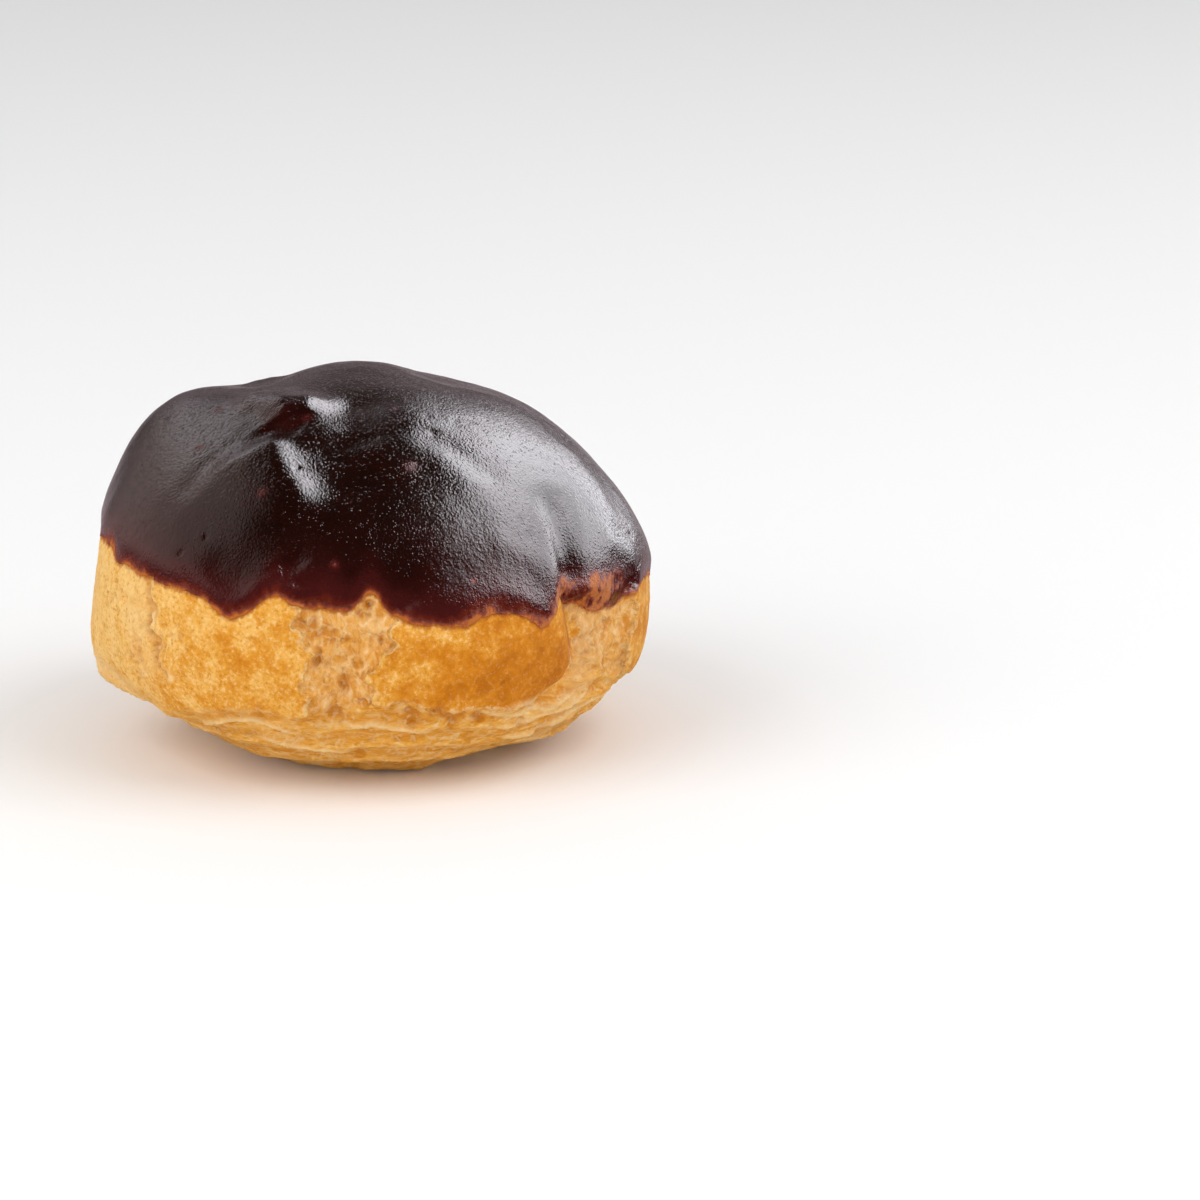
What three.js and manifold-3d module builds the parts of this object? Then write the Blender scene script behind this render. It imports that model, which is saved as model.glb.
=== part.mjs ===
// A glazed profiterole: a choux bun about 62 mm across whose top was dipped in chocolate glaze.
// Millimetres, +Z up. It stands on z = 0 with the origin under its middle, and its best side faces -Y.
//
// Both pieces are star-shaped about one point inside the bun, so each surface is a radius worked out
// from a direction: the risen form, less the relief of the baked crust, plus the glaze that lies on it.

import * as THREE from "three";
import { mergeVertices } from "three/addons/utils/BufferGeometryUtils.js";
import Module from "manifold-3d";

const wasm = await Module();
wasm.setup();

// ---- Driving dimensions -------------------------------------------------------------------------

const HALF_WIDTH = 30.4; // the risen form's half size along X
const HALF_DEPTH = 28.5; // and along Y
const HEART = 18; // height of the point that every radius is measured from
const RISE = 22.4; // from there to the crown
const SAG = 20.5; // and down to the rounded underside, before the foot is cut flat
const PLAN_POWER = 2.1; // how square the form is seen from above: 2 is an ellipse
const CROWN_POWER = 2.1; // how square its upper half is seen from the side
const BELLY_POWER = 2.5; // and its lower half
const FINENESS = 16; // cuts in each edge of the icosahedron that every skin starts from

// Where the paste rose more or less than the plain form. Azimuth is 0 at the front and 90 at +X,
// elevation is above the heart, spread is the swelling's reach, all in degrees, and rise is in mm.
const SWELLINGS = [
  // the outline seen from the front, clockwise from the right
  { azimuth: 92, elevation: 8, spread: 10, rise: 0.4 },
  { azimuth: 97, elevation: 24, spread: 12, rise: -0.8 },
  { azimuth: 103, elevation: 40, spread: 14, rise: -0.3 },
  { azimuth: 85, elevation: -16, spread: 16, rise: 0.4 },
  { azimuth: 79, elevation: -36, spread: 16, rise: 0.6 },
  { azimuth: 43, elevation: -46, spread: 9, rise: -1.0 },
  { azimuth: 58, elevation: -34, spread: 7, rise: 0.5 },
  { azimuth: 22, elevation: -46, spread: 8, rise: 0.5 },
  { azimuth: -59, elevation: -35, spread: 10, rise: -0.9 },
  { azimuth: -80, elevation: -32, spread: 8, rise: -1.1 },
  { azimuth: -84, elevation: -21, spread: 7, rise: 2.1 },
  { azimuth: -87, elevation: -10, spread: 14, rise: 0.5 },
  { azimuth: -90, elevation: 6, spread: 8, rise: -1.1 },
  { azimuth: -95, elevation: 19, spread: 16, rise: 0.5 },
  { azimuth: -104, elevation: 41, spread: 13, rise: 2.8 },
  { azimuth: -114, elevation: 57, spread: 8, rise: -1.3 },
  { azimuth: -129, elevation: 67, spread: 10, rise: 0.5 },
  { azimuth: 172, elevation: 75, spread: 12, rise: 0.9 },
  { azimuth: 125, elevation: 65, spread: 9, rise: -0.9 },
  // the two plates of crust at the front
  { azimuth: 24, elevation: -3, spread: 13, rise: 0.7 },
  { azimuth: -38, elevation: -4, spread: 14, rise: 0.5 },
  // the back, which rose as unevenly as the front
  { azimuth: 128, elevation: -8, spread: 13, rise: 0.9 },
  { azimuth: 152, elevation: 24, spread: 15, rise: 0.8 },
  { azimuth: -176, elevation: -4, spread: 12, rise: -0.8 },
  { azimuth: -150, elevation: 4, spread: 14, rise: 1.0 },
  { azimuth: -152, elevation: 38, spread: 12, rise: -0.6 },
];

// The hem is the height where the browned plates of crust end over the stretched skin below them.
const HEM_HEIGHT = 9.3;
const HEM_DEPTH = 1.4; // how far the stretched skin lies in behind the plates
const HEM_SOFTNESS = 0.8; // half the height over which the crust steps in
const HEM_WAVES = [
  { azimuth: -62, spread: 13, rise: -2.6 },
  { azimuth: -27, spread: 9, rise: 1.0 },
  { azimuth: 4, spread: 6, rise: 1.9 },
  { azimuth: 20, spread: 8, rise: 1.2 },
  { azimuth: 53, spread: 5, rise: 4 },
  { azimuth: 84, spread: 12, rise: -1.2 },
  { azimuth: 122, spread: 10, rise: 1.4 },
  { azimuth: 170, spread: 14, rise: -1.6 },
  { azimuth: -142, spread: 9, rise: 1.7 },
  { azimuth: -104, spread: 8, rise: 0.8 },
];

// Tears between the plates: the azimuth and half width in degrees at TEAR_MIDDLE, how the tear leans
// and flares in degrees for each mm of height, and its top.
const TEAR_MIDDLE = 16;
const TEAR_DEPTH = 1.7;
const TEAR_SOFTNESS = 1.3; // half the angle over which the crust steps in
const TEAR_CLOSES_OVER = 3; // height over which a tear runs out at its top
const TEARS = [
  { azimuth: -5.7, half: 6.9, lean: 0.4, flare: 0.8, top: 27 },
  { azimuth: 60, half: 8, lean: 0.2, flare: 0.3, top: 22.5 },
  { azimuth: 106, half: 5, lean: -0.5, flare: 0.3, top: 24 },
  { azimuth: 160, half: 8, lean: 0.5, flare: 0.5, top: 26 },
  { azimuth: -118, half: 6, lean: -0.3, flare: 0.4, top: 25 },
];

// Creases where one lobe rolled over the next: points along each as [azimuth, height], its width in
// mm and its depth.
const CREASES = [
  {
    course: [[52, 30], [48.5, 25.5], [46.5, 21], [48.4, 16.6], [50, 13.5], [47, 10.5], [41, 8.8]],
    width: 1.8,
    depth: 1.7,
  },
  { course: [[-62, 23.5], [-56, 19.5], [-51.5, 15], [-47.5, 10]], width: 1.6, depth: 0.55 },
  { course: [[-60, 6.6], [-71, 9], [-84, 10.5]], width: 1.5, depth: 0.5 },
  { course: [[140, 27], [138, 20], [143, 12]], width: 1.6, depth: 1.2 },
  { course: [[-156, 24], [-160, 17], [-157, 9]], width: 1.5, depth: 1.0 },
];

// Folds run round the stretched skin under the hem.
const FOLD_PITCH = 2.7;
const FOLD_DEPTH = 0.34;

// Lesser unevenness: crumb in the tears and lumps everywhere.
const CRUMB_DEPTH = 0.25;
const LUMP_DEPTH = 0.18;

// ---- Glaze ----

const GLAZE_LINE = 21.4; // mean height of the glaze's lower edge
const GLAZE_TILT = 2.1; // it was dipped tilted: higher at -X by this much
const GLAZE_EDGE = 0.5; // how proud of the crust its edge stands
const GLAZE_DEPTH = 1.8; // how far below its top the bed lies over the crown
const GLAZE_THINS_OVER = 7; // the edge thins out over this height
const BED_GAP = 0.36; // clearance between the glaze and the crust under it
const EDGE_FOLLOWS = 0.75; // share of the crust's relief that shows through the glaze's edge
const BED_FOLLOWS = 0.35; // share of the glaze's ridges and dents that its bed has too
const DRIPS = [
  { azimuth: -73, spread: 7, rise: 1.2 },
  { azimuth: -65, spread: 2.5, rise: -0.5 },
  { azimuth: -40, spread: 4, rise: -0.2 },
  { azimuth: -29.5, spread: 4, rise: -1.9 },
  { azimuth: -21.5, spread: 2.6, rise: 1.1 },
  { azimuth: 0, spread: 2.2, rise: 2.0 },
  { azimuth: 9, spread: 4, rise: -0.6 },
  { azimuth: 19, spread: 5, rise: -0.9 },
  { azimuth: 26, spread: 3, rise: 0.6 },
  { azimuth: 36.2, spread: 2.6, rise: -1.4 },
  { azimuth: 41.5, spread: 2.2, rise: 2.3 },
  { azimuth: 62, spread: 8, rise: -1.8 },
  { azimuth: 75, spread: 6, rise: 0.8 },
  { azimuth: 92, spread: 9, rise: -1.6 },
  { azimuth: 112, spread: 5, rise: 1.2 },
  { azimuth: 128, spread: 8, rise: -1.9 },
  { azimuth: 150, spread: 5, rise: 0.6 },
  { azimuth: 166, spread: 7, rise: -1.4 },
  { azimuth: -172, spread: 4, rise: 0.9 },
  { azimuth: -156, spread: 8, rise: -1.6 },
  { azimuth: -135, spread: 5, rise: 0.8 },
  { azimuth: -118, spread: 8, rise: -1.3 },
  { azimuth: -98, spread: 4, rise: -0.6 },
];

// Ridges and dents that show through the glaze, each a stroke between two directions given as
// [azimuth, elevation], with its width in degrees and its rise in mm.
const STROKES = [
  { from: [-52, 56], to: [-32, 66], width: 3.4, rise: 1.0 }, // the lip of the pinch
  { from: [-44, 51], to: [-25, 58], width: 3.6, rise: -1.7 }, // and the dent under it
  { from: [-40, 46], to: [-14, 31], width: 4.0, rise: 0.7 }, // the ridge that runs down from it
  { from: [-51, 27], to: [-51, 37], width: 3.6, rise: -0.5 },
  { from: [-34, 14], to: [-30, 12], width: 3.6, rise: -0.5 },
  { from: [-19, 18], to: [-14, 17], width: 3.2, rise: -0.5 },
  { from: [22, 46], to: [32, 42], width: 3.4, rise: -0.5 },
  { from: [50, 24], to: [47, 8], width: 3.0, rise: -1.0 }, // the crease seen through the glaze
  { from: [66, 26], to: [70, 10], width: 5.0, rise: -0.6 },
  { from: [-117, 57], to: [-120, 59], width: 2.6, rise: 0.7 }, // an air bubble
  { from: [140, 34], to: [138, 8], width: 4.0, rise: -0.8 },
  { from: [-158, 30], to: [-165, 12], width: 4.0, rise: -0.6 },
];

// ---- Cutters ----

const FOOT_BLOCK = 80; // side of the block that cuts the foot flat
const CUTTER_REACH = 60; // how far the cone that trims the glaze reaches
const CUTTER_SIDES = 240;

// ---- Small maths ----

const DEGREE = Math.PI / 180;
const bell = (distance, spread) => Math.exp(-0.5 * (distance / spread) ** 2);
const ramp = (value, low, high) => THREE.MathUtils.smoothstep(value, low, high);
const turn = (a, b) => ((a - b + 540) % 360) - 180; // signed difference of two azimuths, in degrees

function direction(azimuth, elevation) {
  const [a, e] = [azimuth * DEGREE, elevation * DEGREE];
  return new THREE.Vector3(Math.sin(a) * Math.cos(e), -Math.cos(a) * Math.cos(e), Math.sin(e));
}

// A wandering line between about -1 and 1 that meets itself again after a turn round the bun, made of
// three waves, the longest of them repeated the stated number of times.
function wander(azimuth, times, seed) {
  const wave = (count, start) => Math.sin(count * azimuth * DEGREE + start);
  return (
    0.55 * wave(times, seed) +
    0.3 * wave(2 * times + 1, 1.7 * seed + 1) +
    0.15 * wave(4 * times - 1, 0.6 * seed + 2)
  );
}

// Sum of waves placed round the bun, each an azimuth, a spread and a rise.
const waves = (list, azimuth) =>
  list.reduce((sum, w) => sum + w.rise * bell(turn(azimuth, w.azimuth), w.spread), 0);

// Angle in degrees from a direction to the nearest point of the stroke between two others.
function angleToStroke(dir, from, to) {
  const along = to.clone().sub(from);
  const share = THREE.MathUtils.clamp(dir.clone().sub(from).dot(along) / along.lengthSq(), 0, 1);
  return dir.angleTo(along.multiplyScalar(share).add(from).normalize()) / DEGREE;
}

// ---- The bun's form and crust ----

const swellings = SWELLINGS.map((s) => ({ ...s, dir: direction(s.azimuth, s.elevation) }));
const strokes = STROKES.map((s) => ({
  ...s,
  from: direction(...s.from),
  to: direction(...s.to),
}));

// Radius of the risen form: a rounded, slightly square dome over a flatter belly, with its swellings.
function form(dir) {
  const power = dir.z > 0 ? CROWN_POWER : BELLY_POWER;
  const height = dir.z > 0 ? RISE : SAG;
  const plan =
    Math.abs(dir.x / HALF_WIDTH) ** PLAN_POWER + Math.abs(dir.y / HALF_DEPTH) ** PLAN_POWER;
  const plain = (plan ** (power / PLAN_POWER) + Math.abs(dir.z / height) ** power) ** (-1 / power);
  return swellings.reduce(
    (r, s) => r + s.rise * bell(dir.angleTo(s.dir) / DEGREE, s.spread),
    plain,
  );
}

// Where a direction meets the form: its azimuth in degrees, its height and its distance from the axis.
function place(dir) {
  const r = form(dir);
  return {
    r,
    azimuth: Math.atan2(dir.x, -dir.y) / DEGREE,
    height: HEART + r * dir.z,
    girth: Math.max(1, r * Math.hypot(dir.x, dir.y)),
  };
}

const hem = (azimuth) =>
  HEM_HEIGHT + waves(HEM_WAVES, azimuth) + 0.4 * wander(azimuth, 9, 2);

// 1 inside a tear, 0 on the plates beside it.
function torn({ azimuth, height }) {
  const up = height - TEAR_MIDDLE;
  return Math.max(
    ...TEARS.map((tear, i) => {
      const ragged = Math.sin(1.1 * height + i) + 0.5 * Math.sin(2.7 * height + 2 * i);
      const half = tear.half + tear.flare * Math.max(0, up) + ragged;
      const off = Math.abs(turn(azimuth, tear.azimuth + tear.lean * up));
      const beside = ramp(off, half - TEAR_SOFTNESS, half + TEAR_SOFTNESS);
      const above = ramp(height, tear.top - TEAR_CLOSES_OVER, tear.top);
      return (1 - beside) * (1 - above);
    }),
  );
}

// How close a place is to a crease, from 0 to 1.
function inCrease({ azimuth, height, girth }, { course, width }) {
  const [[start]] = course;
  const off = turn(start, azimuth) - start;
  const points = course.map(([a, h]) => new THREE.Vector2((a + off) * DEGREE * girth, h - height));
  const gaps = points.slice(1).map((end, i) => {
    const along = end.clone().sub(points[i]);
    const share = THREE.MathUtils.clamp(-points[i].dot(along) / along.lengthSq(), 0, 1);
    return along.multiplyScalar(share).add(points[i]).length();
  });
  return bell(Math.min(...gaps), width);
}

// Depth of the crust's relief below the form.
function crustRelief(at) {
  const edge = hem(at.azimuth);
  const under = 1 - ramp(at.height, edge - HEM_SOFTNESS, edge + HEM_SOFTNESS);
  const open = torn(at);
  const foldPhase = (2 * Math.PI * at.height) / FOLD_PITCH + 1.6 * wander(at.azimuth, 4, 5);
  const folds = FOLD_DEPTH * Math.sin(foldPhase) * (0.6 + 0.4 * wander(at.azimuth, 6, 1));
  const crumb = CRUMB_DEPTH * Math.sin(0.8 * at.height + 3 * wander(at.azimuth, 19, 3));
  const skin = Math.max(TEAR_DEPTH * open, HEM_DEPTH * under) + under * folds + open * crumb;
  const lumps = LUMP_DEPTH * wander(at.azimuth, 11, 4) * Math.sin(0.45 * at.height + 6);
  return CREASES.reduce((deep, c) => deep + c.depth * inCrease(at, c), skin + lumps);
}

// ---- The glaze ----

const glazeLine = (azimuth) =>
  GLAZE_LINE -
  GLAZE_TILT * Math.sin(azimuth * DEGREE) +
  waves(DRIPS, azimuth) +
  0.15 * wander(azimuth, 17, 7);

// 0 at the glaze's edge and below it, 1 where it has its full depth.
const glazed = (at) => ramp(at.height - glazeLine(at.azimuth), -0.5, GLAZE_THINS_OVER);

const strokeRelief = (dir) =>
  strokes.reduce((sum, s) => sum + s.rise * bell(angleToStroke(dir, s.from, s.to), s.width), 0);

// The crust sinks under the glaze, by the gap at the edge and by the full depth over the crown.
function bunRadius(dir) {
  const at = place(dir);
  const full = glazed(at);
  const cover = ramp(at.height - glazeLine(at.azimuth), -1.5, 1);
  const bed = full * GLAZE_DEPTH + (1 - full) * cover * BED_GAP;
  return at.r - bed - crustRelief(at) * (1 - full) + BED_FOLLOWS * strokeRelief(dir) * full;
}

// The glaze's top is the risen form over the crown, and stands proud of the crust at the edge.
function glazeTopRadius(dir) {
  const at = place(dir);
  const full = glazed(at);
  const proud = (GLAZE_EDGE - EDGE_FOLLOWS * crustRelief(at)) * (1 - full);
  return at.r + proud + strokeRelief(dir) * ramp(full, 0, 0.5);
}

// ---- Solids ----

function solid(geometry) {
  geometry.deleteAttribute("normal");
  geometry.deleteAttribute("uv");
  const merged = mergeVertices(geometry, 1e-4);
  return new wasm.Manifold(
    new wasm.Mesh({
      numProp: 3,
      vertProperties: merged.attributes.position.array,
      triVerts: new Uint32Array(merged.index.array),
    }),
  );
}

// A closed skin round the heart, with its radius worked out for each direction.
function skin(radiusAt) {
  const geometry = new THREE.IcosahedronGeometry(1, FINENESS);
  const position = geometry.attributes.position;
  const dir = new THREE.Vector3();
  for (let i = 0; i < position.count; i++) {
    dir.fromBufferAttribute(position, i).normalize();
    const point = dir.clone().multiplyScalar(radiusAt(dir));
    position.setXYZ(i, point.x, point.y, point.z + HEART);
  }
  return solid(geometry);
}

// Everything below the glaze's edge: a cone from the heart whose rim follows the glaze line.
function belowGlaze() {
  const points = [0, 0, HEART, 0, 0, -CUTTER_REACH];
  const faces = [];
  for (let i = 0; i < CUTTER_SIDES; i++) {
    const azimuth = (360 * i) / CUTTER_SIDES - 180;
    const level = direction(azimuth, 0);
    const girth = form(level);
    const rim = direction(azimuth, Math.atan2(glazeLine(azimuth) - HEART, girth) / DEGREE);
    rim.multiplyScalar(CUTTER_REACH);
    points.push(rim.x, rim.y, rim.z + HEART);
    const [here, next] = [2 + i, 2 + ((i + 1) % CUTTER_SIDES)];
    faces.push(0, here, next, 1, next, here);
  }
  const geometry = new THREE.BufferGeometry()
    .setAttribute("position", new THREE.Float32BufferAttribute(points, 3))
    .setIndex(faces);
  return solid(geometry);
}

function mesh(name, made, material) {
  const { vertProperties, triVerts } = made.getMesh();
  const geometry = new THREE.BufferGeometry()
    .setAttribute("position", new THREE.BufferAttribute(vertProperties, 3))
    .setIndex(new THREE.BufferAttribute(triVerts, 1));
  geometry.computeVertexNormals();
  const piece = new THREE.Mesh(geometry, new THREE.MeshStandardMaterial(material));
  piece.name = name;
  return piece;
}

// ---- The profiterole ----

const floor = solid(
  new THREE.BoxGeometry(FOOT_BLOCK, FOOT_BLOCK, FOOT_BLOCK).translate(0, 0, -FOOT_BLOCK / 2),
);
const bun = skin(bunRadius).subtract(floor);
const glaze = skin(glazeTopRadius)
  .subtract(skin((dir) => bunRadius(dir) + BED_GAP))
  .subtract(belowGlaze());

const profiterole = new THREE.Group();
profiterole.add(
  mesh("choux_bun", bun, { color: "#d8994a", roughness: 0.6, metalness: 0 }),
  mesh("chocolate_glaze", glaze, { color: "#2a100c", roughness: 0.3, metalness: 0 }),
);
const middle = new THREE.Box3().setFromObject(profiterole).getCenter(new THREE.Vector3());
profiterole.position.set(-middle.x, -middle.y, 0);

export default profiterole;
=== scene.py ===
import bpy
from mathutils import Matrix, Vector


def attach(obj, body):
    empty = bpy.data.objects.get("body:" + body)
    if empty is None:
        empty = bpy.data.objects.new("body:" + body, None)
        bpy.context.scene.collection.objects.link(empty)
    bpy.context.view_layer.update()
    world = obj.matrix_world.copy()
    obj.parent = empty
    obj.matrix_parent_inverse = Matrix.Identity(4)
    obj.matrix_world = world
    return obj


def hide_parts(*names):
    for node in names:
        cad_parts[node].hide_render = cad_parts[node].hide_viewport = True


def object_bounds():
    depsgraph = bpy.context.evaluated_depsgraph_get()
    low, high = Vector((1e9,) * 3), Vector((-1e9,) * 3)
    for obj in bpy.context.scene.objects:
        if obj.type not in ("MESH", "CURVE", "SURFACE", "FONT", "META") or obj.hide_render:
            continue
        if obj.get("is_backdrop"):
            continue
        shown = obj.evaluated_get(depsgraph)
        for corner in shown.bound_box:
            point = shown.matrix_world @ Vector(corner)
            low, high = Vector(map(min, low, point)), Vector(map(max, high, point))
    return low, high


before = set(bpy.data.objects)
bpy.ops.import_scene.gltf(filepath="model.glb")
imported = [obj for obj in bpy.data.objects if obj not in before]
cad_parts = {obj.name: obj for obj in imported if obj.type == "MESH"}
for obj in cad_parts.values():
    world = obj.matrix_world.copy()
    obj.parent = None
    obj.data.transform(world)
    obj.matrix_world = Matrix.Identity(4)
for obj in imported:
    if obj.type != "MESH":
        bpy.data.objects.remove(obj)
cad_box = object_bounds()
print("CAD box in metres", cad_box)

# %% [markdown]
# ## Working in millimetres
# A bun is only 62 mm across, so all shapes are worked out in millimetres and turned to metres when a
# mesh is written. Places on it are told by azimuth, the angle round the bun from its front, and by
# height, because that is how plates, tears and the glaze's edge run. Three small helpers do most of
# the work: a bell for a soft lump, a ramp for a step, and a wandering line that closes on itself.
# %% Tools and small maths
import math

import bpy
import numpy as np
from mathutils import Vector, noise

MM = 0.001
DEGREE = math.pi / 180
HEART = np.array([-0.245, 0.251, 18.0])  # the point inside the bun that all radii start from


def bell(distance, spread):
    return np.exp(-0.5 * (distance / spread) ** 2)


def ramp(value, low, high):
    share = np.clip((value - low) / (high - low), 0, 1)
    return share * share * (3 - 2 * share)


def turn(a, b):
    """Signed difference of two azimuths in degrees."""
    return (a - b + 540) % 360 - 180


def wander(azimuth, times, seed):
    """A line between about -1 and 1 that meets itself after one turn round the bun."""

    def wave(count, start):
        return np.sin(count * azimuth * DEGREE + start)

    return (
        0.55 * wave(times, seed)
        + 0.3 * wave(2 * times + 1, 1.7 * seed + 1)
        + 0.15 * wave(4 * times - 1, 0.6 * seed + 2)
    )


def waves(rows, azimuth):
    """Sum of bells placed round the bun, each row an azimuth, a spread and a rise."""
    return sum(rise * bell(turn(azimuth, at), spread) for at, spread, rise in rows)


def direction(azimuth, elevation):
    a, e = azimuth * DEGREE, elevation * DEGREE
    return np.array([math.sin(a) * math.cos(e), -math.cos(a) * math.cos(e), math.sin(e)])


def lumps(points, size, seed):
    """Perlin noise from about -1 to 1. The size is in mm, one number or one for each axis."""
    spots = points / np.array(size, float) + 31.7 * seed
    return np.array([noise.noise(spot) for spot in spots.tolist()])


def warp(points, size, seed):
    """Three noises side by side, to bend other patterns with."""
    return np.stack([lumps(points, size, seed + part) for part in (0, 1, 2)], 1)


def pockets(points, size, seed):
    """How far each point lies from the thin walls between small pockets: 0 on a wall, 1 inside."""
    spots = points / np.array(size, float) + 17.3 * seed
    near = np.array([noise.voronoi(spot)[0][:2] for spot in spots.tolist()])
    return ramp(near[:, 1] - near[:, 0], 0.03, 0.5)


print("the heart lies", HEART[2], "mm above the floor")

# %% [markdown]
# ## Camera
# The bun was seen from about 44 cm away and 15 degrees above, with a long lens, a little left of the
# middle of the frame and below it. Turning the camera aside, rather than shifting its lens, puts the
# bun there and keeps the camera easy to move to other sides.
# %% Place the camera
CAMERA_SPOT = (0, -0.427905, 0.132657)
LOOKS_DOWN = 15.3685  # degrees
TURNED_ASIDE = 3.3627  # degrees
LENS = 120

bpy.ops.object.camera_add(
    location=CAMERA_SPOT,
    rotation=(math.radians(90 - LOOKS_DOWN), 0, math.radians(-TURNED_ASIDE)),
)
camera = bpy.context.object
camera.name = "camera"
camera.data.lens = LENS
camera.data.sensor_width = 36
camera.data.clip_start = 0.01
camera.data.dof.use_dof = False
bpy.context.scene.camera = camera
print("camera at", tuple(round(v, 3) for v in camera.location))

# %% [markdown]
# ## Floor and light
# The bun stands on a white table so wide that its far edge is out of sight. Wet glaze mirrors every
# lamp and dry crust mirrors none, so the lamps hang in two sets. One is only seen in the glaze: a large
# soft box at the right, whose pale reflection tells the eye that the glaze is wet, a dim panel at the
# left that keeps that side from going black, a small window behind for the two bright dabs near the
# crown, and the wall and table behind, which pale the rims. The other set lights the crust alone, softly
# from both sides and from low in front, together with the even light of the room.
# %% Helpers for colours and nodes
def linear(colour):
    """An sRGB hex colour as linear red, green, blue and alpha."""
    parts = [int(colour[i : i + 2], 16) / 255 for i in (1, 3, 5)]
    return tuple(p / 12.92 if p <= 0.04045 else ((p + 0.055) / 1.055) ** 2.4 for p in parts) + (1.0,)


def add(tree, kind, inputs=None, links=None, stops=None, **settings):
    """Adds one node: its settings, its fixed inputs, its incoming links and, on a ramp, its stops."""
    node = tree.nodes.new("ShaderNode" + kind)
    for name, value in settings.items():
        setattr(node, name, value)
    for name, value in (inputs or {}).items():
        node.inputs[name].default_value = value
    for name, source in (links or {}).items():
        tree.links.new(source, node.inputs[name])
    if stops:
        row = node.color_ramp.elements
        while len(row) < len(stops):
            row.new(1.0)
        for element, (position, colour) in zip(row, stops):
            element.position = position
            element.color = linear(colour)
    return node


def new_material(name):
    """An empty material and its tree, with the surface shader and the output in place."""
    material = bpy.data.materials.new(name)
    material.use_nodes = True
    tree = material.node_tree
    tree.nodes.clear()
    surface = add(tree, "BsdfPrincipled")
    add(tree, "OutputMaterial", links={"Surface": surface.outputs[0]})
    return material, tree, surface


print("mid grey is", round(linear("#808080")[0], 3), "in linear light")

# %% Lay the floor
TABLE_SIZE = 8  # metres
WHITE_TABLE = 0.94

bpy.ops.object.select_all(action="DESELECT")
bpy.ops.mesh.primitive_plane_add(size=TABLE_SIZE)
table = bpy.context.object
table.name = "table"
table_white, _, table_shader = new_material("matt white table top")
table_shader.inputs["Base Color"].default_value = (WHITE_TABLE, WHITE_TABLE, WHITE_TABLE, 1)
table_shader.inputs["Roughness"].default_value = 0.9
table_shader.inputs["Specular IOR Level"].default_value = 0.1
table.data.materials.append(table_white)
table.visible_glossy = False  # keeps its glare out of the lower edge of the glaze in front
table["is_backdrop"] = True
print("table", TABLE_SIZE, "m wide")

# %% Hang the lights
LAMP_DISTANCE = 0.9
MIDDLE_OF_BUN = Vector((0, 0, 0.02))
WHITE = "#ffffff"
WINDOW_WHITE = "#fbf9ff"
WARM_WALL = "#ffe8e2"
ROSY_WALL = "#ffe8ee"
SEEN_IN_GLAZE = [  # name, azimuth, elevation, width and height in metres, radiance, colour
    ("soft box right", 107.5, 35, 1.68, 1.1, 5.7, WINDOW_WHITE),
    ("its brighter top", 107, 54, 0.9, 0.42, 3.8, WINDOW_WHITE),
    ("its lower edge", 95, 14, 0.7, 0.25, 0.8, WHITE),
    ("soft box left", -103, 27, 1.5, 0.8, 0.76, WARM_WALL),
    ("soft box behind", 178, 25, 0.9, 0.7, 0.24, ROSY_WALL),
    ("window behind", -146, 38, 0.4, 0.34, 1.25, WINDOW_WHITE),
    ("wall behind", 180, 10, 2.2, 0.28, 0.14, ROSY_WALL),
    ("table behind, seen at the rims", 180, -14, 2.6, 0.4, 0.5, ROSY_WALL),
]
LIGHTING_THE_CRUST = [
    ("light on the right", 70, 45, 0.7, 0.7, 2.1, WHITE),
    ("light on the left", -58, 38, 0.7, 0.7, 2.35, WHITE),
    ("low light in front", 5, 7, 0.9, 0.14, 2.8, WHITE),
]


def soft_box(name, azimuth, elevation, width, height, radiance, colour, for_gloss):
    """A panel that faces the bun, either seen in the glaze or lighting the crust."""
    away = Vector(direction(azimuth, elevation) * LAMP_DISTANCE)
    tilt = (-away).to_track_quat("-Z", "Y").to_euler()
    bpy.ops.object.light_add(type="AREA", location=away + MIDDLE_OF_BUN, rotation=tilt)
    lamp = bpy.context.object
    lamp.name = name
    lamp.data.shape = "RECTANGLE"
    lamp.data.size = width
    lamp.data.size_y = height
    lamp.data.energy = radiance * math.pi * width * height  # so that size leaves brightness alone
    lamp.data.color = linear(colour)[:3]
    lamp.visible_camera = False
    lamp.visible_diffuse = not for_gloss
    lamp.visible_glossy = for_gloss
    print(name, "power", round(lamp.data.energy, 2), "W")


for row in SEEN_IN_GLAZE:
    soft_box(*row, for_gloss=True)
for row in LIGHTING_THE_CRUST:
    soft_box(*row, for_gloss=False)

# %% Light the room
ROOM_LIGHT = 0.72  # what lights the crust from all sides
ROOM_SEEN_IN_GLAZE = 0.01  # a dim room, so that the front of the glaze stays dark

room = bpy.data.worlds.new("studio room")
bpy.context.scene.world = room
room.use_nodes = True
room.node_tree.nodes.clear()
ray = add(room.node_tree, "LightPath")
brightness = add(
    room.node_tree,
    "MapRange",
    inputs={"To Min": ROOM_LIGHT, "To Max": ROOM_SEEN_IN_GLAZE},
    links={"Value": ray.outputs["Is Glossy Ray"]},
)
sky = add(room.node_tree, "Background", links={"Strength": brightness.outputs[0]})
add(room.node_tree, "OutputWorld", links={"Surface": sky.outputs[0]})
bpy.context.scene.view_settings.view_transform = "Standard"
print("room light", ROOM_LIGHT, "on the crust and", ROOM_SEEN_IN_GLAZE, "in the glaze")

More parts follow.
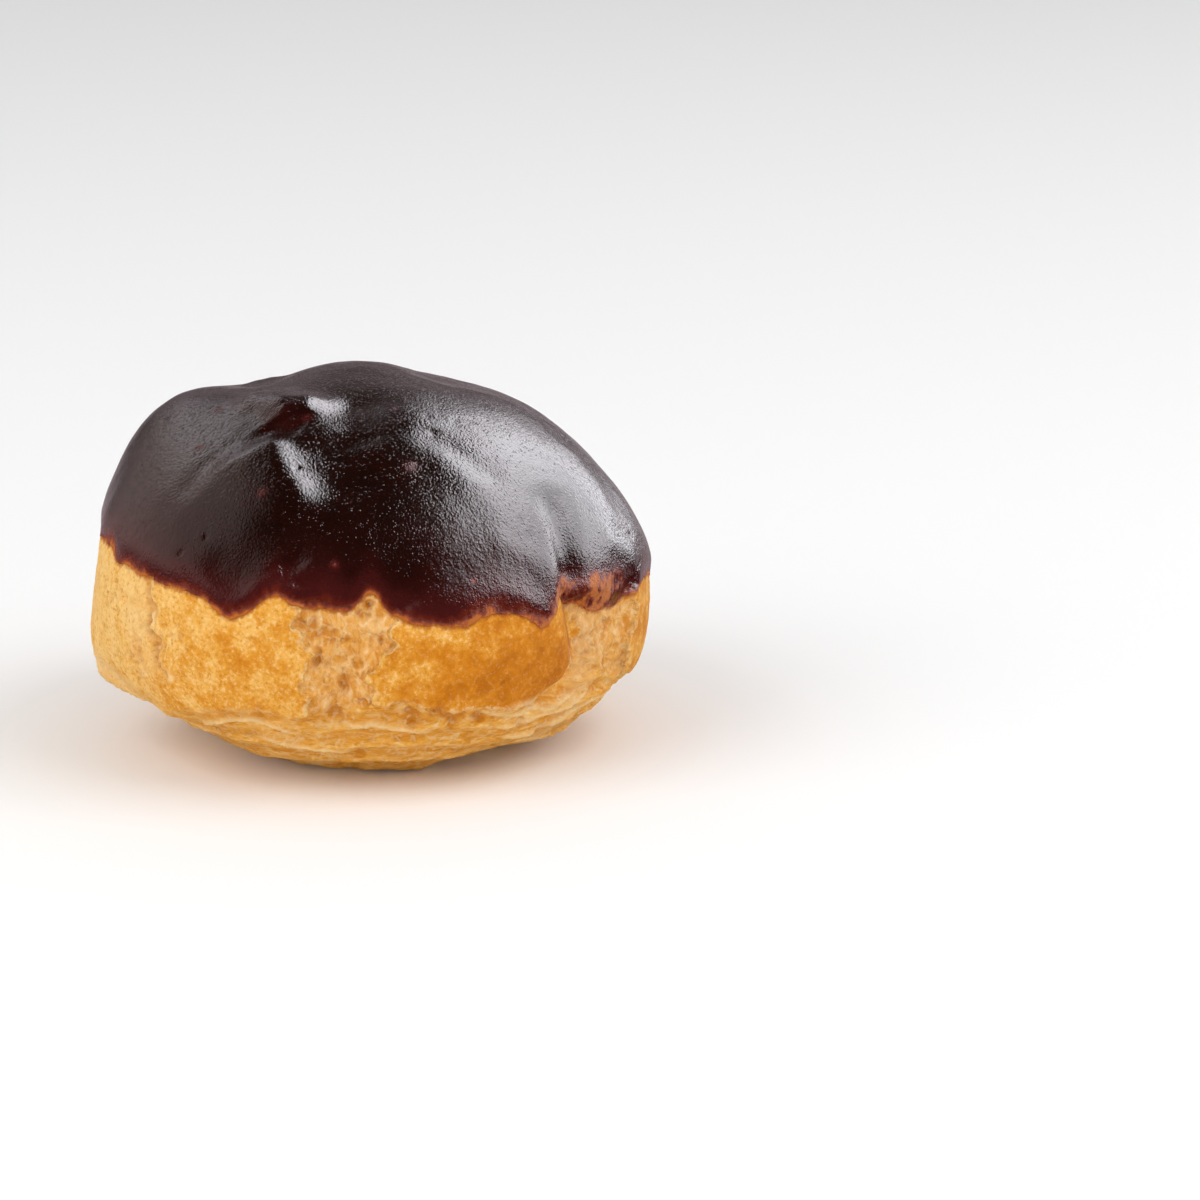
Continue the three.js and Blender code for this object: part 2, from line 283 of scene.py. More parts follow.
# %% [markdown]
# ## The risen form
# The paste rose to a rounded, slightly square dome over a flatter belly, more in some places than in
# others. It could be sculpted by eye, but its CAD solid is measured, so the same few numbers are
# used again: half sizes, how square it is, and swellings told by direction, spread and rise.
# %% Describe the form
HALF_WIDTH = 30.4
HALF_DEPTH = 28.5
RISE = 22.4
SAG = 20.5
PLAN_POWER = 2.1
CROWN_POWER = 2.1
BELLY_POWER = 2.5
SWELLINGS = [  # azimuth, elevation, spread in degrees, rise in mm
    (92, 8, 10, 0.4), (97, 24, 12, -0.8), (103, 40, 14, -0.3), (85, -16, 16, 0.4),
    (79, -36, 16, 0.6), (43, -46, 9, -1.0), (58, -34, 7, 0.5), (22, -46, 8, 0.5),
    (-59, -35, 10, -0.9), (-80, -32, 8, -1.1), (-84, -21, 7, 2.1), (-87, -10, 14, 0.5),
    (-90, 6, 8, -1.1), (-95, 19, 16, 0.5), (-104, 41, 13, 2.8), (-114, 57, 8, -1.3),
    (-129, 67, 10, 0.5), (172, 75, 12, 0.9), (125, 65, 9, -0.9), (24, -3, 13, 0.7),
    (-38, -4, 14, 0.5), (128, -8, 13, 0.9), (152, 24, 15, 0.8), (-176, -4, 12, -0.8),
    (-150, 4, 14, 1.0), (-152, 38, 12, -0.6),
]  # fmt: skip


def degrees_between(dirs, other):
    return np.degrees(np.arccos(np.clip(dirs @ other, -1, 1)))


def form(dirs):
    """Radius of the risen form for each direction from the heart."""
    x, y, z = np.abs(dirs).T
    above = dirs[:, 2] > 0
    power = np.where(above, CROWN_POWER, BELLY_POWER)
    height = np.where(above, RISE, SAG)
    plan = (x / HALF_WIDTH) ** PLAN_POWER + (y / HALF_DEPTH) ** PLAN_POWER
    radius = (plan ** (power / PLAN_POWER) + (z / height) ** power) ** (-1 / power)
    for azimuth, elevation, spread, rise in SWELLINGS:
        radius += rise * bell(degrees_between(dirs, direction(azimuth, elevation)), spread)
    return radius


class Place:
    """Where directions from the heart meet the form: radius, azimuth, height, and mm per degree."""

    def __init__(self, dirs):
        self.radius = form(dirs)
        self.azimuth = np.degrees(np.arctan2(dirs[:, 0], -dirs[:, 1]))
        self.height = HEART[2] + self.radius * dirs[:, 2]
        self.degree = np.maximum(1, self.radius * np.hypot(dirs[:, 0], dirs[:, 1])) * DEGREE
        self.points = dirs * self.radius[:, None]


front = Place(np.array([[0.0, -1.0, 0.0]]))
print("the front of the form lies", front.radius[0].round(2), "mm from the heart")

# %% [markdown]
# ## The glaze line
# The bun was dipped tilted, so the glaze reaches lower at the right, and it ran down between the
# lumps of the crust in tongues. Fine waves on top make the edge as ragged as a stain.
# %% Describe the glaze line
GLAZE_LINE = 21.4
GLAZE_TILT = 2.1
DRIPS = [  # azimuth, spread in degrees, rise in mm
    (-73, 7, 1.2), (-65, 2.5, -0.5), (-40, 4, -0.2), (-29.5, 4, -1.9), (-21.5, 2.6, 1.1),
    (0, 2.2, 2.0), (9, 4, -0.6), (19, 5, -0.9), (26, 3, 0.6), (37, 2.8, -1.4),
    (43.2, 2.0, 1.4), (62, 8, -1.8), (75, 6, 0.8), (92, 9, -1.6), (112, 5, 1.2),
    (128, 8, -1.9), (150, 5, 0.6), (166, 7, -1.4), (-172, 4, 0.9), (-156, 8, -1.6),
    (-135, 5, 0.8), (-118, 8, -1.3), (-98, 4, -0.6),
]  # fmt: skip
FRINGE = [(50.8, 1.5, 0.35), (54.8, 1.9, -0.35), (59.5, 1.8, 0.35), (64, 1.9, -0.2)]  # finer drips
GLAZE_DEPTH = 1.8
GLAZE_THINS_OVER = 7  # mm of height
THIN_EDGE = 0.3


def glaze_line(azimuth):
    """Height of the glaze's edge, as in the CAD solid."""
    tilt = GLAZE_TILT * np.sin(azimuth * DEGREE)
    return GLAZE_LINE - tilt + waves(DRIPS, azimuth) + 0.15 * wander(azimuth, 17, 7)


def ragged_line(azimuth):
    """The same edge with its fine raggedness."""
    fine = 0.17 * wander(azimuth, 43, 3) + 0.05 * wander(azimuth, 149, 5)
    return glaze_line(azimuth) + waves(FRINGE, azimuth) + fine


def fullness(at):
    """0 at the glaze's edge and 1 where the glaze has its whole depth."""
    return ramp(at.height - glaze_line(at.azimuth), -0.5, GLAZE_THINS_OVER)


def bed_depth(full, above_line):
    """How far the crust lies below the form to make room for the glaze, in mm."""
    return full * GLAZE_DEPTH + (1 - full) * ramp(above_line, 0.15, 1.2) * THIN_EDGE


turn_round = np.linspace(-180, 180, 721)
print("glaze line from", glaze_line(turn_round).min().round(1), "to", glaze_line(turn_round).max().round(1))

# %% [markdown]
# ## Plates, tears and the hem
# The browned skin split into plates. Their lower edge, the hem, stands out over paler skin that was
# stretched later, and tears run up between them. For each point of the surface, the distance to the
# nearest edge of a plate is worked out, above zero on a plate and below zero off it. One number like
# this can shape the step, its curled lip and, later on, the colour of both.
# %% Describe the edges of the plates
HEM_HEIGHT = 9.3
HEM_WAVES = [
    (-62, 13, -2.6), (-27, 9, 1.0), (4, 6, 1.9), (20, 8, 1.2), (53, 5, 4),
    (84, 12, -1.2), (122, 10, 1.4), (170, 14, -1.6), (-142, 9, 1.7), (-104, 8, 0.8),
]  # fmt: skip
TEAR_MIDDLE = 16
TEARS = [  # azimuth, half width, lean and flare in degrees for each mm of height, top in mm
    (-6, 7.2, 0.35, 0.8, 27),
    (59, 9.5, 0.1, 0.3, 22.5),
    (106, 5, -0.5, 0.3, 24),
    (160, 8, 0.5, 0.5, 26),
    (-118, 6, -0.3, 0.4, 25),
]
STOPS_SHORT = 1.5  # mm that a tear's top lies below its full height
EDGE_JAG = 0.45


def hem(azimuth):
    return HEM_HEIGHT + waves(HEM_WAVES, azimuth) + 0.4 * wander(azimuth, 9, 2)


def plate_edges(at):
    """Distances in mm to the hem and to the nearest tear, and to which side that tear lies."""
    bend = warp(at.points, 1.9, 3) + 0.8 * warp(at.points, 0.7, 7)
    azimuth = at.azimuth + EDGE_JAG * bend[:, 0] / at.degree
    height = at.height + EDGE_JAG * bend[:, 1]
    to_hem = height - hem(azimuth)
    to_tear = np.full(len(height), 99.0)
    side = np.zeros(len(height))
    up = height - TEAR_MIDDLE
    for i, (middle, half, lean, flare, top) in enumerate(TEARS):
        off = turn(azimuth, middle + lean * up)
        start = i + 1.6 * np.sign(off)
        ragged = 1.1 * np.sin(1.1 * height + start) + 0.6 * np.sin(2.7 * height + 2 * start)
        beside = (np.abs(off) - half - flare * np.maximum(0, up) - ragged) * at.degree
        edge = np.maximum(beside, height - top + STOPS_SHORT)
        nearer = edge < to_tear
        to_tear = np.where(nearer, edge, to_tear)
        side = np.where(nearer, np.sign(off), side)
    return to_hem, to_tear, side


print("hem from", hem(turn_round).min().round(1), "to", hem(turn_round).max().round(1), "mm high")

# %% [markdown]
# ## Creases, folds and pits
# Where one lobe rolled over the next there is a deep crease. Under the hem the skin lies in thin
# folds, each ending in a pale lip, and small holes were left where steam got out. Each is told by
# where it runs, so that it can be moved or deepened without touching the others.
# %% Describe creases, folds and pits
DEEP_CREASE = [  # azimuth and height along it
    (52, 30), (48.5, 25.5), (46.5, 21), (48.4, 16.6), (50, 13.5), (47, 10.5), (41, 8.8),
]  # fmt: skip
CRACK = [(-51.6, 23), (-50.4, 19.8), (-50.9, 17.6), (-49.4, 16.2), (-49.6, 14), (-46.6, 12.6)]
LEFT_FOLD = [(-60, 6.6), (-71, 9), (-84, 10.5)]
CREASES = [  # course, width and depth in mm
    (DEEP_CREASE, 1.3, 1.9),
    (CRACK, 0.32, 0.7),
    (LEFT_FOLD, 1.2, 0.6),
    ([(140, 27), (138, 20), (143, 12)], 1.3, 1.3),
    ([(-156, 24), (-160, 17), (-157, 9)], 1.3, 1.1),
]
FOLDS = [  # azimuth and height along the lip of each fold
    [(24, 8.9), (36, 7.6), (45.7, 7.2), (50.7, 8.2), (55, 9.6)],
    [(28, 6.5), (40.7, 6.3), (49.2, 6.9), (54.7, 7.6), (60, 8.4)],
    [(34, 4.4), (47.2, 4.6), (54, 5.6), (61, 6.2), (72, 6.9)],
    [(-46, 6.3), (-38, 7.4), (-29, 8.4), (-23, 7.6), (-16, 5.9)],
    [(-31, 6.1), (-24, 5.4), (-14, 4.3), (-4, 4.0)],
    [(-9, 8.0), (0, 8.2), (8, 7.3), (16, 6.4)],
    [(78, 4.2), (92, 5.0), (104, 4.6), (118, 6.6)],
    [(128, 7.4), (142, 6.2), (156, 5.0), (168, 4.6)],
    [(-172, 5.2), (-160, 6.4), (-147, 7.6), (-134, 7.0)],
    [(-122, 5.4), (-108, 6.0), (-96, 5.4), (-84, 5.9)],
]
PITS = [  # azimuth, height, half width, half height and depth in mm
    (8.2, 9.9, 0.28, 0.5, 0.7), (9.8, 9.5, 0.25, 0.4, 0.6), (14.1, 9.9, 0.28, 0.6, 0.8),
    (16.2, 9.6, 0.25, 0.6, 0.7), (17.8, 9.1, 0.25, 0.5, 0.7), (19.2, 8.1, 0.35, 0.6, 0.8),
    (20.7, 9.1, 0.25, 0.4, 0.6), (24.4, 8.5, 0.3, 0.4, 0.6), (25.9, 8.1, 0.3, 0.3, 0.6),
    (37.3, 6.7, 0.4, 0.25, 0.6), (46.3, 4.9, 0.6, 0.25, 0.6), (-0.1, 22.4, 0.25, 0.25, 0.7),
    (-11.6, 17.2, 0.3, 0.4, 0.7), (-11.9, 16.3, 0.4, 0.3, 0.7), (-6.2, 13.3, 0.4, 0.8, 0.7),
    (-9, 9.6, 0.5, 0.5, 0.8), (-24.7, 18.2, 0.45, 0.3, 0.35), (-30.4, 16.3, 0.3, 0.22, 0.3),
    (-59.5, 11.3, 0.25, 0.3, 0.4), (-56, 10.9, 0.2, 0.25, 0.35), (-59.6, 20, 0.35, 0.45, 0.45),
    (-54.6, 19.9, 0.3, 0.3, 0.4), (-52.5, 17.1, 0.3, 0.5, 0.4), (27.5, 13, 0.2, 0.25, 0.3),
    (27.4, 19.6, 0.3, 0.2, 0.3), (-42, 17.6, 0.3, 0.3, 0.25), (9.2, 8.3, 0.3, 0.3, 0.6),
]  # fmt: skip
print(len(CREASES), "creases,", len(FOLDS), "folds and", len(PITS), "pits")

# %% Measure from creases, folds and pits
PIT_SPREAD = 1.25
FOLD_PITCH = 2.7
FOLD_DEPTH = 0.34
TEAR_DEPTH = 1.6
LUMP_DEPTH = 0.18


def mm_to_course(at, course, rag=0.0):
    """Distance in mm to a line through points of azimuth and height, shifted aside by the rag."""
    start = course[0][0]
    off = turn(start, at.azimuth) - start
    best = np.full(len(at.azimuth), 1e9)
    for (a0, h0), (a1, h1) in zip(course, course[1:]):
        ax, ay = (a0 + off) * at.degree + rag, h0 - at.height
        bx, by = (a1 - a0) * at.degree, h1 - h0
        share = np.clip(-(ax * bx + ay * by) / (bx * bx + by * by), 0, 1)
        best = np.minimum(best, np.hypot(ax + share * bx, ay + share * by))
    return best


def fold_lips(at, rag):
    """How far the folds stand out, in mm, and how close each point is to a lip, 0 to 1."""
    out = np.zeros(len(at.azimuth))
    lip = np.zeros(len(at.azimuth))
    for course in FOLDS:
        along, heights = np.array(course).T
        azimuth = along[0] + turn(at.azimuth, along[0])
        above = at.height - np.interp(azimuth, along, heights) + rag
        ends = ramp(azimuth, along[0], along[0] + 5) * (1 - ramp(azimuth, along[-1] - 5, along[-1]))
        hang = np.exp(-np.maximum(above, 0) / 0.9) * ramp(above, -0.22, 0.1) * ends
        out = np.maximum(out, hang)
        lip = np.maximum(lip, bell(above - 0.18, 0.22) * ends)
    return out, lip


def soft_lumps(at):
    return LUMP_DEPTH * wander(at.azimuth, 11, 4) * np.sin(0.45 * at.height + 6)


def soft_relief(at, to_tear):
    """The crust as it looks under the glaze, with every edge rounded off."""
    relief = 0.75 * TEAR_DEPTH * (1 - ramp(to_tear, -1.4, 1.2))
    for course, width, depth in CREASES:
        relief += depth * bell(mm_to_course(at, course), width)
    return relief + soft_lumps(at)


def pit_depth(at):
    deep = np.zeros(len(at.azimuth))
    for azimuth, height, wide, tall, depth in PITS:
        beside = turn(at.azimuth, azimuth) * at.degree / (PIT_SPREAD * wide)
        above = (at.height - height) / (PIT_SPREAD * tall)
        deep += depth * np.exp(-((beside**2 + above**2) ** 1.4) / 2)
    return deep


print("folds every", FOLD_PITCH, "mm, tears", TEAR_DEPTH, "mm deep")

# %% [markdown]
# ## Shaping the bun
# The bun starts as an icosphere, whose small triangles are all alike and leave no pole. Its visible
# belly is subdivided once more in edit mode, because that is where the fine torn edges are. Then each
# vertex is moved along its own line from the heart: sculpting, done with numbers. Last, the lips of
# the plates are pushed sideways over the tears, which no movement along one line could do, and the
# foot is cut flat where the bun stood on its tray.
# %% Helpers for editing
BALL_STEPS = 7


def select_faces(obj, wanted):
    """Leaves exactly the wanted faces selected, seen in object mode."""
    mesh = obj.data
    for part in (mesh.vertices, mesh.edges):
        part.foreach_set("select", np.zeros(len(part), bool))
    mesh.polygons.foreach_set("select", wanted)


def edit(obj, *steps):
    """Runs edit-mode steps on one object and comes back."""
    bpy.ops.object.select_all(action="DESELECT")
    obj.select_set(True)
    bpy.context.view_layer.objects.active = obj
    bpy.ops.object.mode_set(mode="EDIT")
    bpy.ops.mesh.select_mode(type="FACE")
    for step, options in steps:
        step(**options)
    bpy.ops.object.mode_set(mode="OBJECT")


def vertices(obj):
    flat = np.empty(len(obj.data.vertices) * 3)
    obj.data.vertices.foreach_get("co", flat)
    return flat.reshape(-1, 3)


def face_centres(obj):
    flat = np.empty(len(obj.data.polygons) * 3)
    obj.data.polygons.foreach_get("center", flat)
    return flat.reshape(-1, 3)


def elevations(points):
    return np.degrees(np.arcsin(points[:, 2] / np.linalg.norm(points, axis=1)))


def write_vertices(obj, points):
    obj.data.vertices.foreach_set("co", (points * MM).ravel())
    obj.data.update()


def write_value(obj, name, values):
    """Keeps a number for each vertex, for the material to read."""
    layer = obj.data.attributes.new(name, "FLOAT", "POINT")
    layer.data.foreach_set("value", values.astype(np.float32))


def start_ball(name):
    bpy.ops.object.select_all(action="DESELECT")
    bpy.ops.mesh.primitive_ico_sphere_add(subdivisions=BALL_STEPS, radius=1)
    ball = bpy.context.object
    ball.name = name
    return ball


print("a ball starts with", 20 * 4 ** (BALL_STEPS - 1), "faces")

# %% Start the bun from a ball
FINE_FROM = -50  # degrees of elevation
FINE_TO = 0.9  # mm above the glaze line

bun = start_ball("baked_bun")
centres = face_centres(bun)
covered = Place(centres / np.linalg.norm(centres, axis=1)[:, None])
belly = (elevations(centres) > FINE_FROM) & (covered.height < glaze_line(covered.azimuth) + FINE_TO)
select_faces(bun, belly)
edit(bun, (bpy.ops.mesh.subdivide, dict(number_cuts=1, ngon=False)))
print("bun has", len(bun.data.polygons), "faces")

# %% Find plates, tears and hem on it
STEP = 0.22  # mm, half the width of an edge's step

dirs = vertices(bun)
dirs = dirs / np.linalg.norm(dirs, axis=1)[:, None]
at = Place(dirs)
to_hem, to_tear, tear_side = plate_edges(at)
edge = np.minimum(to_hem, to_tear)
under = 1 - ramp(to_hem, -STEP, STEP)
open_skin = 1 - ramp(to_tear, -STEP, STEP)
plates = (1 - under) * (1 - open_skin)
print("share of the vertices on plates", round(float((edge > 0).mean()), 2))

# %% Lay patterns over torn and stretched skin
unrolled = np.stack([at.azimuth * at.degree, 0.3 * at.radius, at.height], 1)
bend = warp(at.points, 2.5, 20)
fine_bend = warp(at.points, 0.8, 24)
torn_pockets = pockets(unrolled + 0.8 * bend + 0.3 * fine_bend, (0.95, 3, 1.4), 11)
torn_pockets *= ramp(lumps(at.points, 2.4, 12), -0.12, 0.3)
strands = lumps(unrolled + 0.6 * bend, (0.55, 2, 2.4), 13)

fold_phase = 2 * np.pi * at.height / FOLD_PITCH + 1.6 * wander(at.azimuth, 4, 5)
crest = 1 - np.abs(np.sin((fold_phase + 0.8 * bend[:, 2] + np.pi / 2) / 2))
folds = FOLD_DEPTH * (1 - 2 * crest) * (0.6 + 0.4 * wander(at.azimuth, 6, 1))
strips = lumps(unrolled + 0.7 * bend, (3.6, 4, 0.62), 14)
under_pockets = pockets(unrolled + 0.6 * bend + 0.3 * fine_bend, (1.7, 3, 0.75), 17)
under_pockets *= ramp(lumps(at.points, 2.2, 18), 0.0, 0.35)
fold_out, fold_lip = fold_lips(at, 0.25 * bend[:, 0])
pits = pit_depth(at)
jagged = 1.1 * bend[:, 0] + 0.9 * fine_bend[:, 1]  # mm, makes a thin crack as ragged as torn crust
print("deepest pit", pits.max().round(2), "mm")

# %% Add up the relief of the crust
HEM_DEPTH = 1.35  # this and the next depths in mm
LIP_RISE = 0.16
FOLD_LIPS_OUT = 0.75
TORN_POCKET_DEPTH = 0.4
UNDER_POCKET_DEPTH = 0.2
STRAND_DEPTH = 0.16
CRUMBLE_DEPTH = 0.36
HEM_CRISPNESS = [(27, 20, 0.85), (-26, 11, 0.35), (130, 28, 0.5), (-150, 30, 0.45)]
CRUMBLY_AT = (-60, 18)  # azimuth and height of the crumbly patch beside the crack

crisp = np.where(to_hem < to_tear, 0.08 + waves(HEM_CRISPNESS, at.azimuth), 1)
stepped = crisp * 0.7
tear_floor = TEAR_DEPTH * (0.32 * open_skin + 0.6 * ramp(-to_tear, 0.0, 2.4))
hem_floor = stepped * under + (1 - stepped) * ramp(-to_hem, -0.9, 2.4)
in_tears = TORN_POCKET_DEPTH * torn_pockets + STRAND_DEPTH * strands + 0.2 * bend[:, 1]
relief = np.maximum(tear_floor, HEM_DEPTH * hem_floor)
relief += under * (folds - 0.1 * strips - FOLD_LIPS_OUT * fold_out)
relief += open_skin * (1 - under) * in_tears
relief += under * (UNDER_POCKET_DEPTH * under_pockets + 0.06 * strands)
relief += pits * (1 - 0.2 * open_skin)
relief -= crisp * LIP_RISE * bell(edge - 0.25, 0.25)
for course, width, depth in CREASES:
    relief += depth * bell(mm_to_course(at, course, jagged * (width < 1)), width)
relief += soft_lumps(at)
relief += plates * (0.1 * lumps(at.points, 4.5, 15) + 0.06 * lumps(at.points, 1.3, 16))
crumbly = bell(turn(at.azimuth, CRUMBLY_AT[0]), 13) * bell(at.height - CRUMBLY_AT[1], 6) * plates
crumbly *= ramp(lumps(at.points, 2.6, 37), -0.2, 0.3)
crumbly *= ramp(lumps(at.points, 0.62, 33) + 0.5 * fine_bend[:, 0], 0.05, 0.4)
relief += CRUMBLE_DEPTH * crumbly
above_line = at.height - ragged_line(at.azimuth)
softened = ramp(above_line, -1.3, 0.1)
relief = (1 - softened) * relief + softened * soft_relief(at, to_tear)
print("relief from", relief.min().round(2), "to", relief.max().round(2), "mm below the form")

# %% Move the vertices
LIP_CURL = 0.34
BLISTER_AT = (0.4, 20)  # azimuth and height of the pale blister below the glaze
BLISTER_RISE = 0.7

full = fullness(at)
radius = at.radius - bed_depth(full, above_line) - relief * (1 - full)
from_blister = np.hypot(turn(at.azimuth, BLISTER_AT[0]) * at.degree / 1.2, at.height - BLISTER_AT[1])
blister = 1 - ramp(from_blister, 0.5, 1.25)
radius += BLISTER_RISE * blister

curl = LIP_CURL * crisp * bell(edge - 0.12, 0.24) * (1 - softened)
curl *= 0.3 + ramp(lumps(at.points, 2.2, 31), -0.2, 0.35)
over_tear = curl * (to_tear < to_hem)
over_hem = curl * (to_tear >= to_hem)
east = np.stack([np.cos(at.azimuth * DEGREE), np.sin(at.azimuth * DEGREE), 0 * curl], 1)
points = HEART + dirs * radius[:, None] - east * (over_tear * tear_side)[:, None]
points[:, 2] -= over_hem
write_vertices(bun, points)
print("lips curl out by up to", curl.max().round(2), "mm")

# %% Keep what the crust's material needs
CORNER_LIP = [(46.2, 15), (46.4, 12.6), (44.6, 10.9), (39, 10), (32, 9.9)]  # right plate's corner
CRACK_LIP_ASIDE = 1.2  # degrees
TRICKLE = [(45.2, 20.5), (46.2, 17.5), (46.6, 15.5)]  # glaze that ran down beside the deep crease
BROWNED = [(31, 14, 1.4), (-28, 13, 0.1), (84, 12, 0.5), (132, 14, 0.8), (-150, 16, 0.7)]
PALE = [(-76, 16, 0.8), (-108, 12, 0.6), (176, 10, 0.5)]
PALE_HIGH = [(-52, 13, 0.6)]

# Pockets of the torn skin, pits and the grooves between folds, where the crust is painted darker: painted
# shade in the hollows.
painted_hollow_shade = torn_pockets * open_skin * (1 - under) + np.clip(pits * 1.6, 0, 1)
between_folds = np.clip(0.5 * (1 - 1.6 * crest) + 0.3 * strips + 0.6 * under_pockets, 0, 1)
painted_hollow_shade += under * between_folds * (1 - fold_lip)
beyond_crack = [(azimuth + CRACK_LIP_ASIDE, height) for azimuth, height in CRACK]
crack_lip = bell(mm_to_course(at, beyond_crack, jagged), 0.3) * ramp(lumps(at.points, 1.5, 35), -0.3, 0.2)
corner_lip = 0.9 * bell(mm_to_course(at, CORNER_LIP, 0.6 * jagged), 0.3)
corner_lip *= ramp(lumps(at.points, 1.4, 39), -0.35, 0.15)
browned = waves(BROWNED, at.azimuth) * bell(at.height - 13.5, 4.5)
pale = waves(PALE, at.azimuth) + waves(PALE_HIGH, at.azimuth) * bell(at.height - 19.5, 3.2)
rosy = 0.5 * bell(mm_to_course(at, LEFT_FOLD), 1.3) + waves([(-90, 7, 0.6)], at.azimuth)
rosy += 0.5 * bell(turn(at.azimuth, -54.5), 2.5) * bell(at.height - 16, 4)
rosy += 0.5 * bell(turn(at.azimuth, 53), 4) * open_skin
for name, values in (
    ("edge", edge),
    ("crisp", np.clip(crisp * 1.6, 0, 1)),
    ("under", under),
    ("lip", np.max([fold_lip * under, 0.5 * blister, crack_lip, corner_lip], 0)),
    # where the pits of the crumbly patch and the crack get painted shade
    ("painted_pit_shade", np.clip(crumbly + 0.8 * bell(mm_to_course(at, CRACK, jagged), 0.3), 0, 1)),
    ("painted_hollow_shade", np.clip(painted_hollow_shade, 0, 1)),
    ("below_glaze", -above_line),
    ("browned", browned - pale),
    ("rosy", rosy),
    ("trickle", bell(mm_to_course(at, TRICKLE), 0.45)),
):
    write_value(bun, name, values)
print("kept", [layer.name for layer in bun.data.attributes if layer.data_type == "FLOAT"])

# %% Cut the foot flat
bpy.ops.object.select_all(action="DESELECT")
edit(
    bun,
    (bpy.ops.mesh.select_all, dict(action="SELECT")),
    (
        bpy.ops.mesh.bisect,
        dict(plane_co=(0, 0, 0), plane_no=(0, 0, 1), use_fill=True, clear_inner=True, threshold=1e-6),
    ),
)
bun.data.shade_smooth()
print("bun box", vertices(bun).min(0).round(4), vertices(bun).max(0).round(4))
print("bun has", len(bun.data.polygons), "faces")

# %% [markdown]
# ## The crust's finish
# Baked choux crust is dry and matt, golden where it is thin and deeper orange where the oven caught
# it, with pale specks the size of a grain of semolina. The specks sit on the tops of the crumbs, so they
# are also a painted highlight, and the low places between the crumbs carry painted shade. The stretched
# skin between and under the plates is paler and a little rosy. Its pockets, the grooves between folds,
# the pits and the crack are painted darker brown as painted shade. The numbers kept on the vertices say
# where each begins, and noise in the material breaks the borders up, finer than the mesh could.
# %% Helpers for patterns
MM_SCALE = 1 / MM  # a texture of scale 1000 repeats every millimetre
CRUMB_SIZE = 0.42


def mix(tree, factor, low, high):
    """Lays one colour over another by a factor. Colours are hex text or the output of a node."""
    node = add(tree, "Mix", data_type="RGBA", links={0: factor})
    for socket, colour in ((6, low), (7, high)):
        if isinstance(colour, str):
            node.inputs[socket].default_value = linear(colour)
        else:
            tree.links.new(colour, node.inputs[socket])
    return node.outputs[2]


def maths(tree, operation, *values):
    node = add(tree, "Math", operation=operation)
    for socket, value in zip(node.inputs, values):
        if isinstance(value, (int, float)):
            socket.default_value = value
        else:
            tree.links.new(value, socket)
    return node.outputs[0]


def kept(tree, name):
    return add(tree, "Attribute", attribute_name=name).outputs["Fac"]


def step_between(tree, value, low, high, to_min=0.0, to_max=1.0):
    node = add(
        tree,
        "MapRange",
        interpolation_type="SMOOTHSTEP",
        inputs={"From Min": low, "From Max": high, "To Min": to_min, "To Max": to_max},
        links={"Value": value},
    )
    return node.outputs[0]


crust, tree, skin = new_material("baked choux crust")
place = add(tree, "TexCoord").outputs["Object"]


def spots(size, detail=2.0, roughness=0.5, stretch=(1, 1, 1), swirl=0.0):
    """Noise over the object, in lumps of the given size in mm."""
    spread = add(tree, "Mapping", inputs={"Scale": stretch}, links={"Vector": place})
    node = add(
        tree,
        "TexNoise",
        noise_type="FBM",
        inputs={"Scale": MM_SCALE / size, "Detail": detail, "Roughness": roughness, "Distortion": swirl},
        links={"Vector": spread.outputs[0]},
    )
    return node.outputs[0]


print("crumbs of", CRUMB_SIZE, "mm have scale", round(MM_SCALE / CRUMB_SIZE))

# %% Material: baked choux crust, its browned plates
blotches = spots(3.0, 6.0, 0.66)
crumb = spots(CRUMB_SIZE, 4.0, 0.68)
bake = maths(tree, "ADD", blotches, maths(tree, "MULTIPLY", kept(tree, "browned"), 0.25))
mottles = maths(tree, "SUBTRACT", spots(1.1, 3.0, 0.6), 0.5)
bake = maths(tree, "ADD", bake, maths(tree, "MULTIPLY", mottles, 0.35))
plate_colour = add(
    tree,
    "ValToRGB",
    links={"Fac": bake},
    stops=[(0.25, "#f2c274"), (0.41, "#ebb056"), (0.54, "#e19b36"), (0.7, "#d2821c"), (0.92, "#b86808")],
).outputs[0]
# Pale specks of the crust, laid on the high places of the crumb bump, so that they are also a painted
# highlight on each crumb.
pale_specks_and_painted_highlights = step_between(tree, crumb, 0.5, 0.68)
pale_specks_and_painted_highlights = maths(tree, "MULTIPLY", pale_specks_and_painted_highlights, step_between(tree, bake, 0.45, 0.75, 0.6, 0.15))
plate_colour = mix(tree, pale_specks_and_painted_highlights, plate_colour, "#f6d598")
# The low places of the crumb bump are painted darker orange: painted shade between the crumbs.
painted_shade_between_crumbs = step_between(tree, crumb, 0.47, 0.33)
plate_colour = mix(tree, maths(tree, "MULTIPLY", painted_shade_between_crumbs, 0.6), plate_colour, "#c37212")
# Pits of the crumbly patch and the crack are painted darker brown: painted shade in them.
painted_pit_shade = maths(tree, "MULTIPLY", kept(tree, "painted_pit_shade"), 0.6)
plate_colour = mix(tree, painted_pit_shade, plate_colour, "#c07a34")
print("plates take", len(tree.nodes), "nodes")

# %% Its torn and stretched skin
torn_grain = spots(1.0, 6.0, 0.66, (1, 1, 0.6), swirl=0.6)
torn_colour = add(
    tree,
    "ValToRGB",
    links={"Fac": torn_grain},
    stops=[(0.34, "#d28832"), (0.46, "#e2a04a"), (0.56, "#ecb266"), (0.7, "#f6d49e")],
).outputs[0]
stretched_grain = spots(1.1, 6.0, 0.66, (0.5, 0.5, 1.6), swirl=1.0)
stretched_colour = add(
    tree,
    "ValToRGB",
    links={"Fac": stretched_grain},
    stops=[(0.34, "#d68a26"), (0.46, "#eaa742"), (0.56, "#f3b85e"), (0.7, "#fadc9a")],
).outputs[0]

